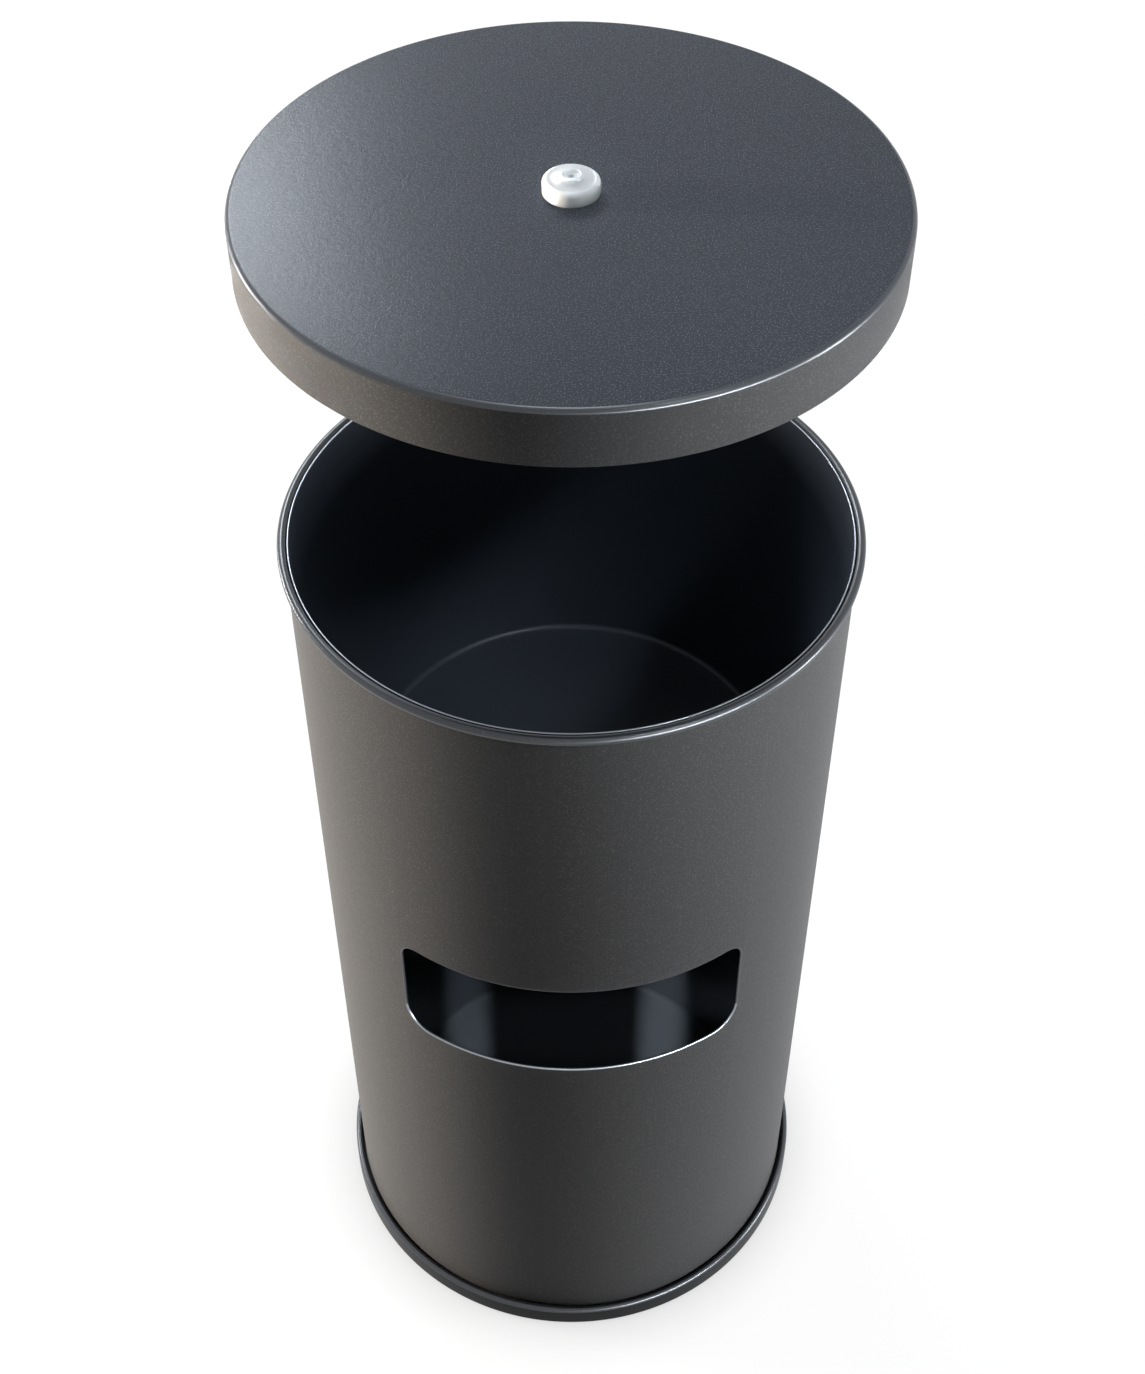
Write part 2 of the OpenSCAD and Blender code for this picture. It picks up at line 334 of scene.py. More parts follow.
class Workshop:
    """Makes plain meshes: turned, beaded, repeated and cut."""

    BEAD_SIDES = 12
    BEAD_SHARP = 60.0

    def __init__(self) -> None:
        """Builds the node trees once."""
        self.turned = turned_tree()
        self.bead = bead_tree()
        self.ring = ring_tree()

    @staticmethod
    def wire(name: str, points: Sequence[Sequence[float]], closed: bool) -> bpy.types.Object:
        """An object of edges through points.

        Args:
            name: The object's name.
            points: Its points in order.
            closed: Whether the last point joins the first.

        Returns:
            The object, linked to the scene.
        """
        mesh = bpy.data.meshes.new(name)
        edges = [(i, i + 1) for i in range(len(points) - 1)]
        mesh.from_pydata(points, edges + [(len(points) - 1, 0)] * closed, [])
        return Workshop.show(name, mesh)

    @staticmethod
    def show(name: str, mesh: bpy.types.Mesh) -> bpy.types.Object:
        """Puts a mesh in the scene as an object of that name."""
        piece = bpy.data.objects.new(name, mesh)
        bpy.context.scene.collection.objects.link(piece)
        return piece

    @staticmethod
    def settle(piece: bpy.types.Object, sharp: float = SHARP) -> bpy.types.Object:
        """Turns an object with modifiers into a plain, welded mesh that faces outwards.

        Args:
            piece: The object, whose modifiers are applied and removed.
            sharp: Angle in degrees past which an edge stays sharp.

        Returns:
            The same object.
        """
        seen = piece.evaluated_get(bpy.context.evaluated_depsgraph_get())
        mesh = bpy.data.meshes.new_from_object(seen)
        mesh.name = piece.name
        piece.modifiers.clear()
        piece.data = mesh
        work = bmesh.new()
        work.from_mesh(mesh)
        bmesh.ops.remove_doubles(work, verts=work.verts, dist=WELD)
        bmesh.ops.dissolve_degenerate(work, edges=work.edges, dist=SLIVER)
        bmesh.ops.recalc_face_normals(work, faces=work.faces)
        work.to_mesh(mesh)
        work.free()
        mesh.shade_smooth()
        mesh.set_sharp_from_angle(angle=math.radians(sharp))
        return piece

    @staticmethod
    def run(piece: bpy.types.Object, tree: bpy.types.NodeTree, values: dict[str, object]) -> None:
        """Gives an object a Geometry Nodes modifier.

        Args:
            piece: The object.
            tree: The tree to run.
            values: Input name to its value.
        """
        modifier = piece.modifiers.new(tree.name, "NODES")
        modifier.node_group = tree
        for item in tree.interface.items_tree:
            if item.in_out == "INPUT" and item.name in values:
                modifier[item.identifier] = values[item.name]

    def turn(
        self,
        name: str,
        outline: PROFILE,
        finish: bpy.types.Material,
        steps: int = 256,
        closed: bool = True,
    ) -> bpy.types.Object:
        """Turns an outline of [radius, height] points round the Z axis.

        Args:
            name: The piece's name.
            outline: Its section, in metres.
            finish: Its material.
            steps: Number of steps round the axis.
            closed: Whether the outline closes on itself; an open one starts and ends on the axis.

        Returns:
            The piece.
        """
        piece = self.wire(name, [(r, 0.0, z) for r, z in outline], closed)
        reach = max(r for r, _ in outline)
        self.run(piece, self.turned, {"Radius": reach, "Steps": steps, "Material": finish})
        return self.settle(piece)

    def run_bead(
        self,
        name: str,
        path: Sequence[Sequence[float]],
        radius: float,
        finish: bpy.types.Material,
    ) -> bpy.types.Object:
        """Runs a round bead along a closed path.

        Args:
            name: The piece's name.
            path: Points of the path, in metres.
            radius: The bead's radius.
            finish: Its material.

        Returns:
            The piece.
        """
        piece = self.wire(name, path, True)
        values = {"Bead Radius": radius, "Sides": self.BEAD_SIDES, "Material": finish}
        self.run(piece, self.bead, values)
        return self.settle(piece, self.BEAD_SHARP)

    def repeat(
        self, piece: bpy.types.Object, count: int, start: float, finish: bpy.types.Material
    ) -> None:
        """Repeats a piece round the Z axis, so that it holds every part of the ring.

        Args:
            piece: The part, placed as the first of the ring.
            count: Number of parts.
            start: Angle that the first is turned by, in degrees.
            finish: Material of them all.
        """
        values = {"Count": count, "Start Angle": math.radians(start), "Material": finish}
        self.run(piece, self.ring, values)
        self.settle(piece)

    def cut(self, piece: bpy.types.Object, tool: bpy.types.Object) -> None:
        """Cuts one object out of another and removes the tool.

        Args:
            piece: The object to cut.
            tool: The object whose shape is taken away.
        """
        modifier = piece.modifiers.new("cut", "BOOLEAN")
        modifier.operation = "DIFFERENCE"
        modifier.solver = "EXACT"
        modifier.object = tool
        self.settle(piece)
        bpy.data.objects.remove(tool)

    def prism(self, name: str, outline: PROFILE, near: float, far: float) -> bpy.types.Object:
        """A closed prism along Y, whose section lies in the XZ plane.

        Args:
            name: The object's name.
            outline: The section's points.
            near: Its lowest Y.
            far: Its highest Y.

        Returns:
            The object.
        """
        count = len(outline)
        points = [(x, y, z) for y in (near, far) for x, z in outline]
        sides = [(i, (i + 1) % count, count + (i + 1) % count, count + i) for i in range(count)]
        ends = [tuple(range(count))[::-1], tuple(range(count, 2 * count))]
        mesh = bpy.data.meshes.new(name)
        mesh.from_pydata(points, [], sides + ends)
        return self.settle(self.show(name, mesh))


def join(name: str, pieces: Sequence[bpy.types.Object]) -> bpy.types.Object:
    """Joins objects at the origin into one.

    Args:
        name: The joined piece's name.
        pieces: The objects, which all have the same material.

    Returns:
        The joined piece.
    """
    mesh = bpy.data.meshes.new(name)
    work = bmesh.new()
    for piece in pieces:
        work.from_mesh(piece.data)
    work.to_mesh(mesh)
    work.free()
    mesh.materials.append(pieces[0].data.materials[0])
    for piece in pieces:
        bpy.data.objects.remove(piece)
    mesh.set_sharp_from_angle(angle=math.radians(SHARP))
    return Workshop.show(name, mesh)


def redress(
    piece: bpy.types.Object, finish: bpy.types.Material, inside: Callable[[Vector], bool]
) -> None:
    """Gives some faces of a piece a second finish.

    Args:
        piece: The piece.
        finish: The second finish.
        inside: Says of a face's centre whether it takes that finish.
    """
    piece.data.materials.append(finish)
    for face in piece.data.polygons:
        if inside(face.center):
            face.material_index = len(piece.data.materials) - 1


def mount(piece: bpy.types.Object, body: Ride, slot: Slot, *nodes: str) -> None:
    """Makes a finished piece ride on a body and stand for nodes of the frame.

    Args:
        piece: The piece.
        body: The body that it moves with.
        slot: The material slot of the record; not used.
        *nodes: The nodes of the frame that it replaces.
    """
    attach(piece, body.value)
    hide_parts(*nodes)
    log.info("%s: %d faces on %s", piece.name, len(piece.data.polygons), body.value)


def dress(finish: bpy.types.Material, slot: Slot, *nodes: str) -> None:
    """Gives nodes of the frame a finish and leaves their shape as it is.

    Args:
        finish: The material.
        slot: The material slot of the record; not used.
        *nodes: The nodes' names.
    """
    for name in nodes:
        node = bpy.data.objects[name]
        node.data.materials.clear()
        node.data.materials.append(finish)
        log.info("%s: dressed", name)


# ---------------------------------------------------------------------------------------------
# Finishes
# ---------------------------------------------------------------------------------------------


def shader_group(
    name: str, inputs: dict[str, tuple[str, object]], outputs: dict[str, str]
) -> tuple[Tree, bpy.types.Node]:
    """Starts a shader node group.

    Args:
        name: The group's name.
        inputs: Input name to its socket type and default value.
        outputs: Output name to its socket type.

    Returns:
        The group's tree and its input node.
    """
    group = bpy.data.node_groups.new(name, "ShaderNodeTree")
    for label, (kind, value) in inputs.items():
        socket = group.interface.new_socket(label, in_out="INPUT", socket_type=kind)
        if value is not None:
            socket.default_value = value
    for label, kind in outputs.items():
        group.interface.new_socket(label, in_out="OUTPUT", socket_type=kind)
    tree = Tree(group)
    return tree, tree.add("NodeGroupInput")


class Effects:
    """Shader groups that several finishes share."""

    def __init__(self) -> None:
        """Builds each group once."""
        self.peel = self.orange_peel()
        self.drift = self.tone_drift()
        self.grain = self.moulded_grain()
        self.streaks = self.drawn_streaks()

    @staticmethod
    def orange_peel() -> bpy.types.NodeTree:
        """The fine pebbled skin of sprayed powder, and a mask of tiny painted glints: random spots
        whose colour a coat paints lighter.
        """
        swell_scale, swell_share = 0.22, 0.8
        spark_scale, spark_edge = 1.1, 0.08
        rarest, share_gain = 0.78, 0.4
        tree, source = shader_group(
            "orange_peel",
            {
                "Vector": ("NodeSocketVector", None),
                "Pebbles per metre": ("NodeSocketFloat", 900.0),
                "Glint share": ("NodeSocketFloat", 0.2),
            },
            {"Height": "NodeSocketFloat", "Painted_glints": "NodeSocketFloat"},
        )
        size = source.outputs["Pebbles per metre"]
        pebble = tree.add(
            "ShaderNodeTexNoise",
            {"Vector": source.outputs["Vector"], "Scale": size, "Detail": 2.0, "Roughness": 0.55},
        )
        swell = tree.add(
            "ShaderNodeTexNoise",
            {
                "Vector": source.outputs["Vector"],
                "Scale": tree.math("MULTIPLY", size, swell_scale),
                "Detail": 1.0,
            },
        )
        swelling = tree.math("MULTIPLY", swell.outputs["Fac"], swell_share)
        height = tree.math("ADD", pebble.outputs["Fac"], swelling)
        spark = tree.add(
            "ShaderNodeTexNoise",
            {
                "Vector": source.outputs["Vector"],
                "Scale": tree.math("MULTIPLY", size, spark_scale),
                "Detail": 0.0,
            },
        )
        # The glint mask marks where the coat's colour is painted lighter: painted glints, standing
        # in for sparkles of light.
        share = tree.math("MULTIPLY", source.outputs["Glint share"], share_gain)
        edge = tree.math("SUBTRACT", rarest, share)
        painted_glint_mask = tree.add(
            "ShaderNodeMapRange",
            {0: spark.outputs["Fac"], 1: edge, 2: tree.math("ADD", edge, spark_edge)},
        )
        tree.add("NodeGroupOutput", {"Height": height, "Painted_glints": painted_glint_mask.outputs[0]})
        return tree.tree

    @staticmethod
    def tone_drift() -> bpy.types.NodeTree:
        """Slow changes of tone and gloss over a broad surface."""
        tree, source = shader_group(
            "tone_drift",
            {
                "Vector": ("NodeSocketVector", None),
                "Colour": ("NodeSocketColor", (0.5, 0.5, 0.5, 1)),
                "Patches per metre": ("NodeSocketFloat", 7.0),
                "Tone spread": ("NodeSocketFloat", 0.1),
                "Roughness": ("NodeSocketFloat", 0.4),
                "Gloss spread": ("NodeSocketFloat", 0.06),
            },
            {"Colour": "NodeSocketColor", "Roughness": "NodeSocketFloat"},
        )
        patch = tree.add(
            "ShaderNodeTexNoise",
            {
                "Vector": source.outputs["Vector"],
                "Scale": source.outputs["Patches per metre"],
                "Detail": 3.0,
            },
        )
        swing = tree.math("SUBTRACT", patch.outputs["Fac"], 0.5)
        tone_swing = tree.math("MULTIPLY", swing, source.outputs["Tone spread"])
        value = tree.math("ADD", 1.0, tone_swing)
        toned = tree.add(
            "ShaderNodeHueSaturation", {"Value": value, "Color": source.outputs["Colour"]}
        )
        gloss_swing = tree.math("MULTIPLY", swing, source.outputs["Gloss spread"])
        rough = tree.math("ADD", source.outputs["Roughness"], gloss_swing)
        tree.add("NodeGroupOutput", {"Colour": toned.outputs[0], "Roughness": rough})
        return tree.tree

    @staticmethod
    def moulded_grain() -> bpy.types.NodeTree:
        """The soft spark-eroded grain of moulded plastic and rubber."""
        cloud_scale = 0.6
        tree, source = shader_group(
            "moulded_grain",
            {
                "Vector": ("NodeSocketVector", None),
                "Cells per metre": ("NodeSocketFloat", 1400.0),
            },
            {"Height": "NodeSocketFloat"},
        )
        cells = tree.add(
            "ShaderNodeTexVoronoi",
            {"Vector": source.outputs["Vector"], "Scale": source.outputs["Cells per metre"]},
            feature="SMOOTH_F1",
        )
        cloud = tree.add(
            "ShaderNodeTexNoise",
            {
                "Vector": source.outputs["Vector"],
                "Scale": tree.math("MULTIPLY", source.outputs["Cells per metre"], cloud_scale),
                "Detail": 2.0,
            },
        )
        height = tree.math("ADD", cells.outputs["Distance"], cloud.outputs["Fac"])
        tree.add("NodeGroupOutput", {"Height": height})
        return tree.tree

    @staticmethod
    def drawn_streaks() -> bpy.types.NodeTree:
        """Fine lines, left by rolling and plating sheet metal, drawn out upright by Stretch."""
        tree, source = shader_group(
            "drawn_streaks",
            {
                "Vector": ("NodeSocketVector", None),
                "Streaks": ("NodeSocketFloat", 60.0),
                "Stretch": ("NodeSocketFloat", 0.06),
            },
            {"Height": "NodeSocketFloat"},
        )
        place = tree.add("ShaderNodeSeparateXYZ", {0: source.outputs["Vector"]})
        thin = tree.add(
            "ShaderNodeCombineXYZ",
            {
                "X": place.outputs["X"],
                "Y": place.outputs["Y"],
                "Z": tree.math("MULTIPLY", place.outputs["Z"], source.outputs["Stretch"]),
            },
        )
        lines = tree.add(
            "ShaderNodeTexNoise",
            {"Vector": thin.outputs[0], "Scale": source.outputs["Streaks"], "Detail": 3.0},
        )
        tree.add("NodeGroupOutput", {"Height": lines.outputs["Fac"]})
        return tree.tree


@dataclass(frozen=True)
class Finish:
    """What every finish has: a colour, a roughness and its drift over the surface."""

    name: str
    colour: tuple[float, float, float]
    roughness: float
    tone_spread: float = 0.12
    gloss_spread: float = 0.06
    patches: float = 7.0

    def start(self, effects: Effects) -> tuple[bpy.types.Material, Tree, bpy.types.Node, dict]:
        """Starts the material.

        Args:
            effects: The shared shader groups.

        Returns:
            The material, its tree, its shader node, and the sockets of place and colour.
        """
        material = bpy.data.materials.new(self.name)
        material.use_nodes = True
        material.node_tree.nodes.clear()
        tree = Tree(material.node_tree)
        place = tree.add("ShaderNodeTexCoord").outputs["Object"]
        drift = tree.add(
            "ShaderNodeGroup",
            {
                "Vector": place,
                "Colour": (*self.colour, 1),
                "Patches per metre": self.patches,
                "Tone spread": self.tone_spread,
                "Roughness": self.roughness,
                "Gloss spread": self.gloss_spread,
            },
            node_tree=effects.drift,
        )
        shader = tree.add(
            "ShaderNodeBsdfPrincipled",
            {"Base Color": drift.outputs["Colour"], "Roughness": drift.outputs["Roughness"]},
        )
        tree.add("ShaderNodeOutputMaterial", {"Surface": shader.outputs[0]})
        sockets = {"place": place, "colour": drift.outputs["Colour"]}
        return material, tree, shader, sockets

    @staticmethod
    def relief(
        tree: Tree,
        shader: bpy.types.Node,
        height: bpy.types.NodeSocket,
        strength: float,
        depth: float,
    ) -> None:
        """Raises a height map on the surface.

        Args:
            tree: The material's tree.
            shader: The shader whose normal it turns.
            height: The height map.
            strength: The bump's strength.
            depth: Height in metres of one unit of the map.
        """
        bump = tree.add(
            "ShaderNodeBump", {"Strength": strength, "Distance": depth, "Height": height}
        )
        tree.tree.links.new(bump.outputs[0], shader.inputs["Normal"])


@dataclass(frozen=True)
class PowderCoat(Finish):
    """Sprayed powder paint: pebbled and satin, with tiny glints painted into its colour as lighter
    spots.
    """

    pebbles: float = 900.0
    peel_strength: float = 0.6
    peel_depth: float = 0.03 * MM
    painted_glints: float = 0.3
    painted_glint_gain: float = 0.5
    painted_glint_boost: float = 4.0
    specular: float = 0.4

    def build(self, effects: Effects) -> bpy.types.Material:
        """Makes the material.

        Args:
            effects: The shared shader groups.

        Returns:
            The material.
        """
        material, tree, shader, sockets = self.start(effects)
        peel = tree.add(
            "ShaderNodeGroup",
            {
                "Vector": sockets["place"],
                "Pebbles per metre": self.pebbles,
                "Glint share": self.painted_glints,
            },
            node_tree=effects.peel,
        )
        # Painted glints: where the mask is set, the base colour is mixed towards a lighter copy of
        # itself.
        painted_glint_lift = 1 + self.painted_glint_boost * self.painted_glint_gain
        painted_glint_colour = tuple(min(1.0, c * painted_glint_lift) for c in self.colour)
        painted_glint_mix = tree.mix(
            tree.math("MULTIPLY", peel.outputs["Painted_glints"], self.painted_glint_gain),
            sockets["colour"],
            (*painted_glint_colour, 1),
        )
        tree.tree.links.new(painted_glint_mix, shader.inputs["Base Color"])
        self.relief(tree, shader, peel.outputs["Height"], self.peel_strength, self.peel_depth)
        shader.inputs["Specular IOR Level"].default_value = self.specular
        return material


@dataclass(frozen=True)
class SheetPaint(Finish):
    """Thin smooth paint inside the bin, over the faint upright lines of the rolled sheet."""

    streaks: float = 55.0
    line_strength: float = 0.25
    line_depth: float = 0.6 * MM
    specular: float = 0.5

    def build(self, effects: Effects) -> bpy.types.Material:
        """Makes the material.

        Args:
            effects: The shared shader groups.

        Returns:
            The material.
        """
        material, tree, shader, sockets = self.start(effects)
        lines = tree.add(
            "ShaderNodeGroup",
            {"Vector": sockets["place"], "Streaks": self.streaks},
            node_tree=effects.streaks,
        )
        self.relief(tree, shader, lines.outputs["Height"], self.line_strength, self.line_depth)
        shader.inputs["Specular IOR Level"].default_value = self.specular
        return material


@dataclass(frozen=True)
class Moulding(Finish):
    """Grained plastic, rubber or foam."""

    cells: float = 1400.0
    grain_strength: float = 0.5
    grain_depth: float = 0.03 * MM
    specular: float = 0.4

    def build(self, effects: Effects) -> bpy.types.Material:
        """Makes the material.

        Args:
            effects: The shared shader groups.

        Returns:
            The material.
        """
        material, tree, shader, sockets = self.start(effects)
        grain = tree.add(
            "ShaderNodeGroup",
            {"Vector": sockets["place"], "Cells per metre": self.cells},
            node_tree=effects.grain,
        )
        height = grain.outputs["Height"]
        self.relief(tree, shader, height, self.grain_strength, self.grain_depth)
        shader.inputs["Specular IOR Level"].default_value = self.specular
        return material


@dataclass(frozen=True)
class Zinc(Finish):
    """Bright bare or plated steel with a fine grain."""

    streaks: float = 2600.0
    stretch: float = 1.0
    line_strength: float = 0.3
    line_depth: float = 0.03 * MM

    def build(self, effects: Effects) -> bpy.types.Material:
        """Makes the material.

        Args:
            effects: The shared shader groups.

        Returns:
            The material.
        """
        material, tree, shader, sockets = self.start(effects)
        lines = tree.add(
            "ShaderNodeGroup",
            {"Vector": sockets["place"], "Streaks": self.streaks, "Stretch": self.stretch},
            node_tree=effects.streaks,
        )
        self.relief(tree, shader, lines.outputs["Height"], self.line_strength, self.line_depth)
        shader.inputs["Metallic"].default_value = 1.0
        return material


@dataclass(frozen=True)
class Milky(Finish):
    """Natural, unpigmented plastic: cloudy inside, glossy outside."""

    see_through: float = 0.1
    scatter: float = 0.35
    scatter_depth: float = 2.5 * MM
    coat: float = 0.4
    coat_roughness: float = 0.16
    cells: float = 1200.0
    grain_strength: float = 0.2
    grain_depth: float = 0.006 * MM
    ior: float = 1.5

    def build(self, effects: Effects) -> bpy.types.Material:
        """Makes the material.

        Args:
            effects: The shared shader groups.

        Returns:
            The material.
        """
        material, tree, shader, sockets = self.start(effects)
        grain = tree.add(
            "ShaderNodeGroup",
            {"Vector": sockets["place"], "Cells per metre": self.cells},
            node_tree=effects.grain,
        )
        height = grain.outputs["Height"]
        self.relief(tree, shader, height, self.grain_strength, self.grain_depth)
        shader.inputs["Transmission Weight"].default_value = self.see_through
        shader.inputs["Subsurface Weight"].default_value = self.scatter
        shader.inputs["Subsurface Radius"].default_value = (1.0, 1.0, 1.0)
        shader.inputs["Subsurface Scale"].default_value = self.scatter_depth
        shader.inputs["Coat Weight"].default_value = self.coat
        shader.inputs["Coat Roughness"].default_value = self.coat_roughness
        shader.inputs["IOR"].default_value = self.ior
        return material


class Palette:
    """Every finish of the object, built once."""

    def __init__(self) -> None:
        """Builds the finishes."""
        fx = Effects()
        self.body = PowderCoat(
            "body_powder_coat", (0.090, 0.088, 0.089), 0.50, 0.08, 0.04, pebbles=1400.0,
            peel_depth=0.05 * MM, painted_glints=0.45, painted_glint_gain=0.35, specular=0.06,
        ).build(fx)
        # The lid's top coat is a darker, bluer copy of the body paint that its skirt wears: painted
        # shade and a painted cool tint of the light from above.
        self.lid = PowderCoat(
            "lid_top_coat_painted_shade", (0.050, 0.055, 0.069), 0.27, 0.05, 0.012, pebbles=1500.0,
            peel_depth=0.11 * MM, painted_glints=0.45, painted_glint_gain=0.6, specular=0.12,
        ).build(fx)
        self.rim = PowderCoat(
            "rim_gloss", (0.026, 0.031, 0.041), 0.32, 0.05, 0.02,
            peel_depth=0.003 * MM, painted_glints=0.1, specular=0.6,
        ).build(fx)
        self.inner = SheetPaint("inner_paint", (0.034, 0.042, 0.056), 0.42, specular=0.3).build(fx)
        self.ring = Moulding("ring_moulding", (0.019, 0.020, 0.022), 0.30, specular=0.06).build(fx)
        self.pail = Moulding("pail_moulding", (0.050, 0.056, 0.066), 0.30).build(fx)
        self.foot = Moulding("foot_rubber", (0.018, 0.018, 0.018), 0.72, cells=900.0).build(fx)
        self.foam = Moulding("seal_foam", (0.026, 0.026, 0.028), 0.85, cells=2200.0).build(fx)
        self.bare = Zinc("bare_sheet_edge", (0.26, 0.28, 0.30), 0.30).build(fx)
        self.worn = Zinc("worn_collar_edge", (0.30, 0.32, 0.35), 0.30).build(fx)
        self.zinc = Zinc("zinc_plate", (0.66, 0.67, 0.69), 0.28).build(fx)
        self.cap = Milky(
            "milky_cap", (0.86, 0.92, 0.97), 0.26, 0.03, see_through=0.0, scatter=0.9,
            scatter_depth=6 * MM, coat=0.25,
        ).build(fx)
        self.stem = Milky("natural_plastic", (0.80, 0.84, 0.88), 0.34, 0.03).build(fx)
        self.valve = Moulding("valve_silicone", (0.72, 0.75, 0.78), 0.45, cells=700.0).build(fx)


# ---------------------------------------------------------------------------------------------
# Sub-assemblies
# ---------------------------------------------------------------------------------------------


@dataclass
class Body:
    """The rolled tube with its curled rim, its waste slot and the seam down its back.

    edge_share is the radius of the slot's rounded edge as a share of the wall, and the seam ends
    seam_curls times the curl's radius below the top.
    """

    shop: Workshop
    palette: Palette
    wall: float = 1.2 * MM
    curl: float = 2.05 * MM
    slot_arc: float = 173 * MM
    slot_low: float = 252.5 * MM
    slot_high: float = 317 * MM
    slot_r_top: float = 10 * MM
    slot_r_low: float = 14 * MM
    slot_step: float = 3 * MM
    edge_share: float = 0.56
    seam_width: float = 9 * MM
    seam_rise: float = 0.7 * MM
    seam_foot: float = 13 * MM
    seam_curls: float = 4.5
    seam_sink: float = 0.2 * MM
    bevel_high: float = 0.25 * MM
    bevel_wide: float = 0.3 * MM
    steps: int = 320

    def __post_init__(self) -> None:
        """Reads the tube's own sizes from the frame."""
        low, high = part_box("body_shell")
        self.low, self.top = low.z, high.z
        self.radius = high.x - 2 * self.curl + self.wall

    def on_wall(self, along: float, height: float, radius: float) -> tuple[float, float, float]:
        """A point on the tube.

        Args:
            along: Distance round the tube from the middle of its front.
            height: Height above the floor.
            radius: Distance from the axis.

        Returns:
            The point.
        """
        turn = along / self.radius
        return radius * math.sin(turn), -radius * math.cos(turn), height

    def slot_outline(self) -> PROFILE:
        """The slot's outline, as distance round the tube and height."""
        return rounded_box(
            self.slot_arc / 2, self.slot_low, self.slot_high, self.slot_r_top, self.slot_r_low
        )

    def build_shell(self) -> None:
        """The tube and its curl, with the slot cut through the front."""
        inner = self.radius - self.wall
        centre = inner + self.curl, self.top - self.curl
        section = [
            (inner, self.low),
            *arc(*centre, self.curl, 180, -100, 28),
            *arc(*centre, self.curl - self.wall, -100, 180, 16),
            (self.radius, self.low),
        ]
        shell = self.shop.turn("bin_body", section, self.palette.body, self.steps)
        outline = [(self.on_wall(s, z, self.radius)[0], z) for s, z in self.slot_outline()]
        in_front = -1.2 * self.radius
        self.shop.cut(shell, self.shop.prism("slot_tool", outline, in_front, 0.0))
        under_curl = self.top - 2.1 * self.curl
        redress(shell, self.palette.rim, lambda c: c.z > under_curl)
        mount(shell, Ride.BIN, Slot.BODY, "body_shell")

    def build_slot_edge(self) -> None:
        """The rounded edge of the sheet round the slot, bare along its foot."""
        middle = self.radius - self.wall / 2
        flat = self.slot_outline()
        path = []
        for (s0, z0), (s1, z1) in zip(flat, flat[1:] + flat[:1]):
            steps = max(1, round(abs(s1 - s0) / self.slot_step))
            path += [
                self.on_wall(s0 + (s1 - s0) * i / steps, z0 + (z1 - z0) * i / steps, middle)
                for i in range(steps)
            ]
        bead = self.edge_share * self.wall
        edge = self.shop.run_bead("slot_edge", path, bead, self.palette.rim)
        redress(edge, self.palette.bare, lambda c: c.z < self.slot_low + self.slot_r_low)
        mount(edge, Ride.BIN, Slot.BODY, "body_shell")

    def build_seam(self) -> None:
        """The lapped seam down the back, with a fine bevel along each side."""
        low = self.low + self.seam_foot
        high = self.top - self.seam_curls * self.curl
        half = self.seam_width / 2
        crest = self.radius + self.seam_rise
        rows = [
            (-half, self.radius - self.seam_sink),
            (-half, crest - self.bevel_high),
            (-half + self.bevel_wide, crest),
        ]
        rows += [(-s, r) for s, r in reversed(rows)]
        count = len(rows)
        back = math.pi * self.radius
        points = [self.on_wall(back + s, height, r) for height in (low, high) for s, r in rows]
        faces = [(i, i + 1, count + i + 1, count + i) for i in range(count - 1)]
        faces += [(count - 1, 0, count, 2 * count - 1)]
        faces += [tuple(range(count))[::-1], tuple(range(count, 2 * count))]
        mesh = bpy.data.meshes.new("back_seam")
        mesh.from_pydata(points, [], faces)
        mesh.materials.append(self.palette.body)
        seam = self.shop.settle(self.shop.show("back_seam", mesh))
        mount(seam, Ride.BIN, Slot.BODY, "body_shell")

    def build(self) -> None:
        """Builds the tube's pieces."""
        self.build_shell()
        self.build_slot_edge()
        self.build_seam()


